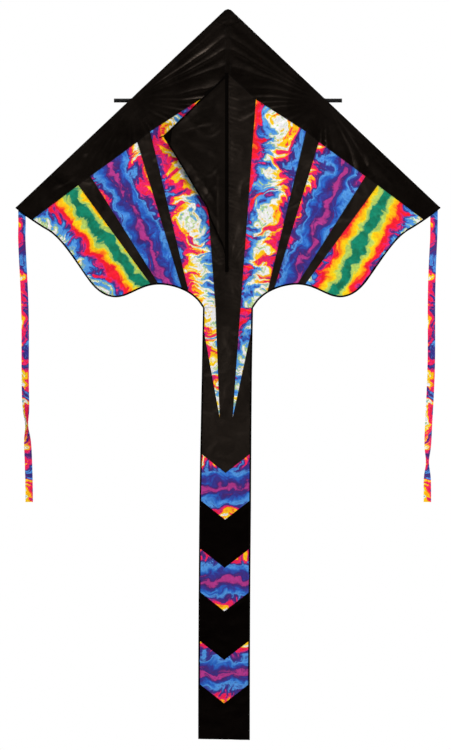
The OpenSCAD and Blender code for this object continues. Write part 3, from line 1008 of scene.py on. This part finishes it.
def panel_grids():
    """The right half of the sail as patches by name, each running out from the spine and down."""
    feet = [meet(HEMLINE, SEAM[i + 1], FOOT[i]) for i in range(1, 5)]
    hem_out = meet(HEMLINE, SEAM[5], SEAM[6])
    corner = (HEMLINE[-1], len(HEMLINE) - 1)
    tip = (TIP + 0.8 * MM * EDGE_IN, 0)
    counts = [max(3, int(np.linalg.norm(SEAM[i + 1] - SEAM[i]) / CELL)) for i in range(5)]
    bottoms = {
        "centre": straight((0, ROOT_Z), FOOT[0], counts[0]),
        "inner": resample(np.concatenate([[FOOT[0]], hem_between(feet[0], corner)]), counts[1]),
        "inner_stripe": resample(hem_between(feet[1], feet[0]), counts[2]),
        "middle": resample(hem_between(feet[2], feet[1]), counts[3]),
        "outer_stripe": resample(hem_between(feet[3], feet[2]), counts[4]),
    }
    grids = {"leading": leading_grid(counts, tip, hem_out), "outer": outer_grid(feet[3], hem_out)}
    for i, (name, bottom) in enumerate(bottoms.items()):
        grids[name] = between_lines(straight(SEAM[i], SEAM[i + 1], counts[i]), bottom, PANEL_ROWS)
    return grids


def sail(grids):
    for side, sign in SIDES:
        for name, (node_ends, material, slot) in PANELS.items():
            grid = mirrored(grids[name], sign)
            cut = PRINT_PLACES.get((side, name), PLAIN)
            piece = cloth_piece(f"{side}_{name}_cloth", [grid], on_sail, material, cut)
            nodes = [f"{side}_{end}" for end in node_ends]
            if len(nodes) == 2:
                fix_at_hinge(piece, side, sign, slot, *nodes)
            else:
                fix(piece, side + "_wing", slot, *nodes)


def seam_tapes(grids):
    """Felled seams: a flat strip behind each joint and two rows of stitches in front."""
    for side, sign in SIDES:
        for name in ("leading", "centre", "inner", "inner_stripe", "middle", "outer_stripe"):
            grid = grids[name]
            line = resample(grid[-1] if name == "leading" else grid[:, -1], 110)[:-1]
            band = mirrored(ribbon(line, -3.2 * MM, 3.2 * MM), sign)
            tape = cloth_piece(f"{side}_{name}_seam", [band], behind(on_sail, 0.5 * MM), TAPE,
                               thickness=0.5 * MM)
            rows = [mirrored(shifted(line, offset), sign) for offset in (-1.7 * MM, 1.7 * MM)]
            thread = stitches(f"{side}_{name}_stitches", rows, on_sail, ON_CLOTH)
            for piece in (tape, thread):
                if name in ("leading", "centre"):
                    fix_at_hinge(piece, side, sign, "tape_black")
                else:
                    fix(piece, side + "_wing", "tape_black")


BINDING = both_faces([(0.0, 0.0), (0.15, -0.5), (0.7, -0.72), (3.0, -0.62), (4.9, -0.5), (5.0, 0.0)])
BINDING_STITCH = 3.6 * MM    # from the edge in to the binding's row of stitches


def trailing_tapes():
    """Binding folded over the trailing edge, with its row of stitches."""
    line = resample(EDGE_SMOOTH, 190)
    for side, sign in SIDES:
        path = mirrored(line, sign)
        tape = sweep(f"{side}_trailing_tape", path, mirrored(rightwards(line), sign), BINDING, TAPE,
                     sail_depth(path[:, 0], path[:, 1]))
        fix_at_hinge(tape, side, sign, "tape_black", f"{side}_trailing_binding")
        row = mirrored(shifted(line, BINDING_STITCH), sign)
        thread = stitches(f"{side}_trailing_stitches", [row], on_sail, ON_TAPE)
        fix_at_hinge(thread, side, sign, "tape_black")


# Profiles of the sleeve round a leading-edge rod, as (inwards from the edge, back) in mm
SLEEVE_OUT = in_mm([(12.0, 0.25), (9.0, 1.9), (7.2, 4.4), (6.3, 6.6), (4.6, 8.0), (2.6, 8.2), (0.6, 7.2),
                    (-0.25, 5.2), (-0.3, 2.6), (0.2, 0.5), (0.9, -0.1), (4.0, 0.22)])
SLEEVE_IN = in_mm([(11.0, 0.45), (8.6, 1.5), (6.6, 4.2), (5.8, 6.3), (4.3, 7.6), (2.8, 7.75), (1.0, 6.8),
                   (0.3, 5.1), (0.25, 2.7), (0.6, 1.2), (1.2, 0.7), (4.0, 0.6)])
POCKET_LEN = 30 * MM         # length of the closed pocket at the wing tip
FITTING_GAP = 20 * MM        # half the gap in the sleeve at the fitting
ROD_IN = 3.1 * MM            # from the leading edge in to the rod's middle


def along_edge(side, sign, name, steps, material, hollow, scale):
    """The sleeve's profile swept along part of the leading edge."""
    path = [mirrored(EDGE_START + EDGE_DIR * s, sign) for s in steps]
    aim = [mirrored(EDGE_IN, sign)] * len(path)
    return sweep(f"{side}_{name}", path, aim, SLEEVE_OUT, material, hollow=hollow, scale=scale)


def leading_sleeves():
    """The sail's leading edge folded back round the rod and sewn down, open at the fitting."""
    gap = np.linalg.norm(CROSS - EDGE_START - EDGE_IN * ROD_IN)
    pocket_start = EDGE_LEN - POCKET_LEN
    stretches = {"upper": (20 * MM, gap - FITTING_GAP), "lower": (gap + FITTING_GAP, pocket_start)}
    sewn = EDGE_START + EDGE_IN * 9.5 * MM
    rows = [straight(sewn + EDGE_DIR * a, sewn + EDGE_DIR * b, 60) for a, b in stretches.values()]
    for side, sign in SIDES:
        for part, (start, stop) in stretches.items():
            steps = np.linspace(start, stop, 70)
            puckers = [1 + 0.02 * math.sin(s / (3.1 * MM)) + 0.02 * noise.noise(Vector((s * 40, sign, 0)))
                       for s in steps]
            sleeve = along_edge(side, sign, f"edge_sleeve_{part}", steps, TAFFETA, SLEEVE_IN, puckers)
            fix(sleeve, side + "_wing", "cloth_black", f"{side}_leading_sleeve")
        steps = np.linspace(pocket_start, EDGE_LEN - 2.5 * MM, 12)
        puckers = [1.05 + 0.02 * math.sin(s / (2 * MM)) for s in steps]
        pocket = along_edge(side, sign, "tip_pocket_cloth", steps, TAPE, (), puckers)
        fix(pocket, side + "_wing", "tape_black", f"{side}_tip_pocket")
        thread = stitches(f"{side}_leading_edge_stitches", [mirrored(row, sign) for row in rows],
                          on_sail, ON_CLOTH)
        fix(thread, side + "_wing", "tape_black")


# ---- the fixed centre ----

# Right halves of the spine sleeve's profiles, as (sideways, back) in mm
SPINE_OUT = both_sides([(0.0, 8.3), (1.9, 7.9), (3.3, 6.6), (3.9, 4.6), (4.1, 2.6), (5.0, 1.1), (7.5, 0.75),
                        (7.6, 0.35)])
SPINE_IN = both_sides([(0.0, 7.5), (1.6, 7.2), (2.75, 6.2), (3.3, 4.4), (3.4, 2.6), (3.2, 1.0), (2.6, 0.75),
                       (2.0, 0.65)])


def spine():
    """Sleeve down the back for the spine rod, doubled at its lower end."""
    top, bottom = -12 * MM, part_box("spine_sleeve")[0].z
    steps = np.linspace(top, bottom, 120)
    puckers = [1 + 0.015 * math.sin(z / (3.4 * MM)) for z in steps]
    sleeve = sweep("spine_sleeve_cloth", [(0, z) for z in steps], [(1, 0)] * len(steps), SPINE_OUT, TAFFETA,
                   hollow=SPINE_IN, scale=puckers)
    fix(sleeve, "centre", "cloth_black", "spine_sleeve")
    low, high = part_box("spine_pocket")
    path = [(0, z) for z in np.linspace(high.z, low.z, 14)]
    doubled = [(w * 1.13, y * 1.07) for w, y in SPINE_OUT]
    pocket = sweep("spine_pocket_cloth", path, [(1, 0)] * len(path), doubled, TAPE)
    fix(pocket, "centre", "tape_black", "spine_pocket")
    rows = [straight((x * MM, top), (x * MM, bottom), 100) for x in (-6.4, 6.4)]
    fix(stitches("spine_stitches", rows, on_sail, ON_CLOTH), "centre", "tape_black")


def nose_patches():
    """A doubled patch over the nose, in two halves."""
    low_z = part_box("nose_patch")[0].z
    reach = EDGE_START + EDGE_DIR * 44 * MM
    grid = between_lines(straight(NOSE, reach, 14), straight((0, low_z), reach + (0.0, -1.0 * MM), 14), 14)
    for side, sign in SIDES:
        half = mirrored(grid, sign)
        patch = cloth_piece(f"{side}_nose_patch", [half], behind(on_sail, -0.9 * MM), TAFFETA,
                            thickness=PATCH)
        fix_at_hinge(patch, side, sign, "tape_black", "nose_patch")


# ---- keel ----

# Its larger folds: two ends, half width and height
KEEL_FOLDS = (
    ((0.150, -0.352), (0.020, -0.420), 9 * MM, -3.5 * MM),
    ((0.120, -0.400), (0.030, -0.540), 8 * MM, 3.5 * MM),
    ((0.034, -0.430), (0.030, -0.640), 6 * MM, -3.0 * MM),
    ((0.090, -0.300), (0.020, -0.335), 9 * MM, 3.0 * MM),
    ((0.100, -0.450), (0.040, -0.470), 7 * MM, -3.0 * MM),
    ((0.075, -0.505), (0.018, -0.600), 7 * MM, 2.5 * MM),
)
ROOT_TAPE = both_faces([(-1.3, 0.0), (-0.9, -0.9), (0.4, -1.0), (6.4, -0.75), (7.9, -0.6), (8.0, 0.0)])
EDGE_TAPE = both_faces([(0.0, 0.0), (0.3, -0.5), (4.6, -0.45), (4.9, 0.0)])


def keel_lift(points):
    """From (distance from the root, height) to the folded keel's place in front of the left wing."""
    r, z = points[:, 0], points[:, 1]
    free = ease(r, 6 * MM, 40 * MM) * ease(KEEL_TOW[0] - r, 0, 45 * MM)
    wave = 1.5 * MM * cloud(r, z, 95 * MM, 12.5) + 4.8 * MM * crumple(r, z, 105 * MM, 21.3)
    wave = wave + 0.40 * ridges(r, z, KEEL_TOW, 115, 245, 13, 4, 200 * MM, 30 * MM)
    for keel_fold in KEEL_FOLDS:
        wave = wave + fold(r, z, *keel_fold)
    wave = wave * free
    slope = math.sin(KEEL_ANGLE)
    return np.stack([-r * math.cos(KEEL_ANGLE) + wave * slope, KEEL_AXIS_Y - r * slope + wave, z], axis=1)


def keel_trailing_edge():
    """The keel's trailing edge as a curve from its foot up to the tow point."""
    corners = sorted({(round(-v.co.x / math.cos(KEEL_ANGLE), 4), round(v.co.z, 4))
                      for v in cad["keel_panel"].data.vertices}, key=lambda p: p[1])
    lower = [np.array((0.4 * MM, KEEL_BOTTOM))]
    for corner in corners:
        on_edge = corner[1] < KEEL_TOW[1] - 60 * MM and corner[0] > 11.5 * MM
        if on_edge and np.linalg.norm(corner - lower[-1]) > 4 * MM:
            lower.append(np.array(corner))
    return smooth_line(lower + [KEEL_TOW], 5)


def keel():
    """The keel's cloth, its tapes and its tow patch."""
    trailing = keel_trailing_edge()
    top, bottom = (0.4 * MM, KEEL_TOP), (0.4 * MM, KEEL_BOTTOM)
    rows = 84
    grid = coons(straight(top, KEEL_TOW, 26), straight(bottom, bottom, 26), straight(top, bottom, rows),
                 resample(trailing[::-1], rows))
    sheet = cloth_piece("keel_cloth", [grid], keel_lift, KEEL_TAFFETA)
    fix(sheet, "keel", "cloth_black", "keel_panel")
    root = straight((0, KEEL_TOP), (0, KEEL_BOTTOM), 150)
    # The tape's near-black tone here is also painted shade beside the keel's root
    keel_tape("keel_root_tape", root, np.tile((1.0, 0.0), (len(root), 1)), ROOT_TAPE, "keel_root_hem")
    for name, line in (("trailing", resample(trailing, 100)), ("leading", straight(KEEL_TOW, top, 60))):
        keel_tape(f"keel_{name}_tape", line, -rightwards(line), EDGE_TAPE)
    tow_patch(trailing)


def keel_tape(name, line, inward, profile, *nodes):
    """A folded tape along an edge of the keel, drawn flat and then lifted with the keel."""
    rings = []
    for place, aim in zip(line, inward):
        drawn = np.array([place + aim * w for w, _ in profile])
        lifted = keel_lift(np.maximum(drawn, (-2 * MM, -9)))
        rings.append([point + np.array((0, y, 0)) for point, (_, y) in zip(lifted, profile)])
    uv = [(w, v) for v in distances(line) for w, _ in profile]
    fix(tube(name, rings, uv, TAPE), "keel", "tape_black", *nodes)


def tow_patch(trailing):
    """Doubled triangle of cloth at the tow point, on both faces of the keel."""
    ways = (np.array((0, KEEL_TOP)) - KEEL_TOW, trailing[-8] - KEEL_TOW)
    a, b = (KEEL_TOW + way / np.linalg.norm(way) * 36 * MM for way in ways)
    middle = (a + b) / 2
    grid = between_lines(straight(KEEL_TOW, a, 10), straight(b, middle, 10), 10)
    for name, rise in (("keel_tow_cloth_front", -0.75 * MM), ("keel_tow_cloth_back", 0.75 * MM)):
        piece = cloth_piece(name, [grid], behind(keel_lift, rise), TAPE, thickness=PATCH)
        fix(piece, "keel", "tape_black", "keel_tow_patch")


# ---- tail ----

SPIKE_ROWS = 48              # cells down a spike
TAIL_COLUMNS = 20
CHEVRONS = [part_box(f"tail_chevron_{number}") for number in (1, 2, 3)]
TOPS = [high.z for _, high in CHEVRONS]                # side corners of the chevrons' upper seams
LOWS = [low.z + CHEVRON_DIP for low, _ in CHEVRONS]    # and of their lower seams


def vee(z, start=-TAIL_IN, stop=TAIL_IN, count=TAIL_COLUMNS):
    """A V-shaped seam across the tail, or part of it, whose side corners are at a given height."""
    x = np.linspace(start, stop, count + 1)
    return np.stack([x, z - CHEVRON_DIP * (1 - np.abs(x) / (TAIL_HALF - 4 * MM))], axis=1)


def tail_top():
    """The black panel round the two spikes, as patches that meet at the spikes' tips."""
    foot, (tip_x, tip_z) = FOOT[0][0], SPIKE_TIP
    wedge = between_lines(straight(SPIKE_SHOULDER, SPIKE_SHOULDER, 8),
                          straight(SPIKE_TIP, (TAIL_IN, tip_z), 8), SPIKE_ROWS)
    middle = between_lines(straight((-foot, TAIL_TOP), (foot, TAIL_TOP), 8),
                           straight((-tip_x, tip_z), SPIKE_TIP, 8), SPIKE_ROWS)
    patches = [middle, wedge, mirrored(wedge, -1)]
    for start, stop in ((-TAIL_IN, -tip_x), (-tip_x, tip_x), (tip_x, TAIL_IN)):
        patches.append(between_lines(straight((start, tip_z), (stop, tip_z), 8),
                                     vee(TOPS[0], start, stop, 8), 26))
    panel = cloth_piece("tail_top_cloth", patches, on_tail, PAINTED_LIT_TAFFETA)
    fix_to_tail(panel, "top", "cloth_black", "tail_top_panel")


def tail_spikes():
    """The tie-dyed spikes that run down from the inner panels of the sail."""
    inner_top, outer_top = (FOOT[0][0], TAIL_TOP), (TAIL_IN, TAIL_TOP)
    outer_side = np.concatenate([straight(outer_top, SPIKE_SHOULDER, 7)[:-1],
                                 straight(SPIKE_SHOULDER, SPIKE_TIP, SPIKE_ROWS - 7)])
    spike = coons(straight(inner_top, outer_top, 8), straight(SPIKE_TIP, SPIKE_TIP, 8),
                  straight(inner_top, SPIKE_TIP, SPIKE_ROWS), outer_side)
    for side, sign in SIDES:
        grid = mirrored(spike, sign)
        piece = cloth_piece(f"{side}_tail_spike_cloth", [grid], on_tail, DYED, PRINT_PLACES[side, "spike"])
        fix_to_tail(piece, "top", "dye_rose", f"tail_{side}_spike")


def tail_bands():
    """Chevrons and black panels down the tail, by turns."""
    bands = [
        ("chevron_1", TOPS[0], LOWS[0], "upper", ("tail_chevron_1",)),
        ("black_1", LOWS[0], TOPS[1], "crease", ("tail_black_1_upper", "tail_black_1_lower")),
        ("chevron_2", TOPS[1], LOWS[1], "lower", ("tail_chevron_2",)),
        ("black_2", LOWS[1], TOPS[2], "lower", ("tail_black_2",)),
        ("chevron_3", TOPS[2], LOWS[2], "lower", ("tail_chevron_3",)),
    ]
    for number, (name, upper, lower, where, nodes) in enumerate(bands):
        grid = between_lines(vee(upper), vee(lower), max(4, int((upper - lower) / CELL)))
        material, cut, slot = DEEP_TAFFETA, PLAIN, "cloth_black"
        if "chevron" in name:
            cut = Cut((0, (upper + lower) / 2 - 28 * MM), (HALF_REPEAT, 0.3 * number), (1, 0.03))
            material, slot = DYED, "dye_band"
        piece = cloth_piece(f"tail_{name}_cloth", [grid], on_tail, material, cut)
        fix_to_tail(piece, where, slot, *nodes)


def tail_end():
    """The last black panel, cut straight across."""
    corner = np.array((TAIL_IN, TAIL_END + HEM))
    grid = between_lines(vee(LOWS[2]), straight(mirrored(corner, -1), corner, TAIL_COLUMNS), 24)
    piece = cloth_piece("tail_end_cloth", [grid], on_tail, DEEP_TAFFETA)
    fix_to_tail(piece, "lower", "cloth_black", "tail_end_panel")


def tail_tapes():
    """Binding down each side of the tail in three lengths, and across its end."""
    lengths = {
        "top": ("top", TAIL_TOP, LOWS[0], ("tail_upper_hems",)),
        "crease": ("crease", LOWS[0], TOPS[1], ("tail_upper_hems", "tail_lower_hems")),
        "low": ("lower", TOPS[1], TAIL_END, ("tail_lower_hems",)),
    }
    for side, sign in SIDES:
        for part, (where, high, low, nodes) in lengths.items():
            z = np.linspace(high, low, max(8, int((high - low) / CELL)))
            edge = on_tail(np.stack([np.full(len(z), sign * TAIL_HALF), z], axis=1))
            tape = sweep(f"{side}_tail_tape_{part}", edge[:, (0, 2)], [(-sign, 0)] * len(z), BINDING, TAPE,
                         edge[:, 1])
            fix_to_tail(tape, where, "tape_black", *nodes)
            x = sign * (TAIL_HALF - BINDING_STITCH)
            thread = stitches(f"{side}_tail_{part}_stitches", [straight((x, high), (x, low), 60)],
                              on_tail, ON_TAPE)
            fix_to_tail(thread, where, "tape_black")
    x = np.linspace(-TAIL_HALF + 0.5 * MM, TAIL_HALF - 0.5 * MM, 40)
    z = np.full(len(x), TAIL_END)
    path = np.stack(tail_place(x, z), axis=1)
    tape = sweep("tail_end_tape", path, [(0, 1)] * len(x), BINDING, TAPE, tail_depth(x, z))
    fix_to_tail(tape, "lower", "tape_black", "tail_end_hem")


def tail_seam():
    """The row of stitches that holds the tail's top behind the sail."""
    height = ROOT_Z + SEAM_LAP / 2
    row = straight((-TAIL_IN, height), (TAIL_IN, height), 60)
    fix(stitches("tail_seam_stitches", [row], on_sail, ON_CLOTH), "centre", "tape_black")


# ---- streamers ----

TWIST_AT = {-1: 0.73, 1: 0.86}   # where each side's streamer shows its edge, in parts of its free length


def hanging(sign, centre, top, sewn, lean, length):
    """How a ribbon hangs from its sewn top: with one slow twist and a soft sway."""
    def lift(points):
        down = -points[:, 1]
        part = np.clip((down - sewn) / (length - sewn), 0, 1)
        free = ease(down - sewn, 5 * MM, 60 * MM)
        edge_on = 0.95 * np.exp(-((part - TWIST_AT[sign]) / 0.05) ** 2) * sign
        twist = free * (0.2 * np.sin(part * 9 + sign) + edge_on)
        sway_x = free * 1.8 * MM * np.sin(part * 11 + 2 * sign)
        sway_y = free * 4 * MM * np.sin(part * 8 + sign)
        x = centre + lean * part + sway_x + points[:, 0] * np.cos(twist)
        y = 1.2 * MM + sway_y + points[:, 0] * np.sin(twist)
        return np.stack([x, y, top - down], axis=1)
    return lift


def streamers():
    """Each streamer is one ribbon: its top is sewn flat behind the wing tip and the rest hangs."""
    for side, sign in SIDES:
        tab_low, tab_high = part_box(f"{side}_streamer_tab")
        low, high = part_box(f"{side}_streamer")
        centre = (tab_low.x + tab_high.x) / 2
        half = (tab_high.x - tab_low.x) / 2
        lean = low.x - (centre - half) if sign > 0 else high.x - (centre + half)
        length = tab_high.z - low.z
        grid = between_lines(straight((-half, 0), (half, 0), 6),
                             straight((-half, -length), (half, -length), 6), 136)
        lift = hanging(sign, centre, tab_high.z, tab_high.z - tab_low.z, lean, length)
        cut = Cut((0, 0), (0.76 * HALF_REPEAT, 0.95), (0.030, -1))
        piece = cloth_piece(f"{side}_streamer_cloth", [grid], lift, DYED, cut)
        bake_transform(piece)
        stand_for(piece, "dye_ribbon", f"{side}_streamer_tab", f"{side}_streamer")


# ---- rods and fittings keep their CAD shapes ----

def finish_hardware():
    """Gives the CAD pieces that are still seen their materials."""
    for name, piece in cad.items():
        if piece.hide_render:
            continue
        material = TAPE if name == "tow_loop" else VINYL if "fitting" in name or "stops" in name else ROD
        piece.data.materials.clear()
        piece.data.materials.append(material)


# ---- floor, light and camera ----

SCALE = 2.75 * MM            # size of one pixel at the kite
PICTURE_H = 750              # height of the picture in pixels
NOSE_ROW = 9                 # pixels from the picture's top down to the nose
SPINE_OFF = 2.5              # pixels from the picture's middle to the spine, on its right
LENS, SENSOR = 120.0, 36.0   # in the camera's own millimetres
AMBIENT = 0.05               # light that comes from all round
FLOOR_DROP = 0.45            # from the kite's lowest point to the floor
FLOOR_FRONT = 4.0            # the floor's reach in front of the kite and to both sides
FLOOR_BACK = 2.2             # and behind it, where it must stay below the camera's view
FLOOR_GLOW = 0.22            # keeps its far corners pale without lighting the kite


def seen_by_camera(tree, otherwise, value):
    """One value where the camera looks straight at a thing, and another for all other light."""
    seen = add(tree, "LightPath").outputs["Is Camera Ray"]
    return add(tree, "MapRange", {0: seen, 3: otherwise, 4: value}).outputs[0]


def floor_material():
    material, tree, shader = new_material("floor_white")
    feed(tree, shader, {
        "Base Color": (0.95, 0.95, 0.95, 1),
        "Roughness": 0.9,
        "Emission Color": (1, 1, 1, 1),
        "Emission Strength": seen_by_camera(tree, 0.0, FLOOR_GLOW),
    })
    return material


def stage():
    z = TAIL_END - FLOOR_DROP
    corners = [(-FLOOR_FRONT, -FLOOR_FRONT, z), (FLOOR_FRONT, -FLOOR_FRONT, z),
               (FLOOR_FRONT, FLOOR_BACK, z), (-FLOOR_FRONT, FLOOR_BACK, z)]
    mesh = bpy.data.meshes.new("floor")
    mesh.from_pydata(corners, [], [(0, 1, 2, 3)])
    mesh.materials.append(floor_material())
    floor = bpy.data.objects.new("floor", mesh)
    bpy.context.scene.collection.objects.link(floor)


def world():
    """A white backdrop all round, with only dim light from it so that the lamps shape the folds."""
    made = bpy.data.worlds.new("studio")
    bpy.context.scene.world = made
    made.use_nodes = True
    tree = made.node_tree
    feed(tree, tree.nodes["Background"], {
        "Strength": seen_by_camera(tree, AMBIENT, 1.0),
        "Color": (1, 1, 1, 1),
    })


def area_light(name, place, size, power):
    """A lamp that looks at the middle of the kite."""
    data = bpy.data.lights.new(name, "AREA")
    data.shape = "RECTANGLE"
    data.size, data.size_y = size
    data.energy = power
    lamp = bpy.data.objects.new(name, data)
    lamp.location = place
    lamp.rotation_euler = (Vector((0, 0, -0.8)) - Vector(place)).to_track_quat("-Z", "Y").to_euler()
    bpy.context.scene.collection.objects.link(lamp)


def lights():
    """A wide lamp high in front, a smaller one at the right and one behind."""
    area_light("key", (-1.2, -2.2, 3.6), (1.3, 0.9), 300)
    area_light("fill", (3.9, -2.3, -0.2), (0.8, 1.6), 115)
    area_light("back", (1.2, 2.8, 1.2), (1.6, 1.6), 90)


def camera():
    data = bpy.data.cameras.new("camera")
    data.lens = LENS
    data.sensor_width = SENSOR
    data.clip_end = 60
    view = bpy.data.objects.new("camera", data)
    bpy.context.scene.collection.objects.link(view)
    distance = LENS * PICTURE_H * SCALE / SENSOR
    view.location = (-SPINE_OFF * SCALE, -distance, -(PICTURE_H / 2 - NOSE_ROW) * SCALE)
    view.rotation_euler = (math.radians(90), 0, 0)
    bpy.context.scene.camera = view
    bpy.context.scene.view_settings.view_transform = "Standard"


panels = panel_grids()
sail(panels)
seam_tapes(panels)
trailing_tapes()
leading_sleeves()
spine()
nose_patches()
keel()
tail_top()
tail_spikes()
tail_bands()
tail_end()
tail_tapes()
tail_seam()
streamers()
finish_hardware()
stage()
world()
lights()
camera()
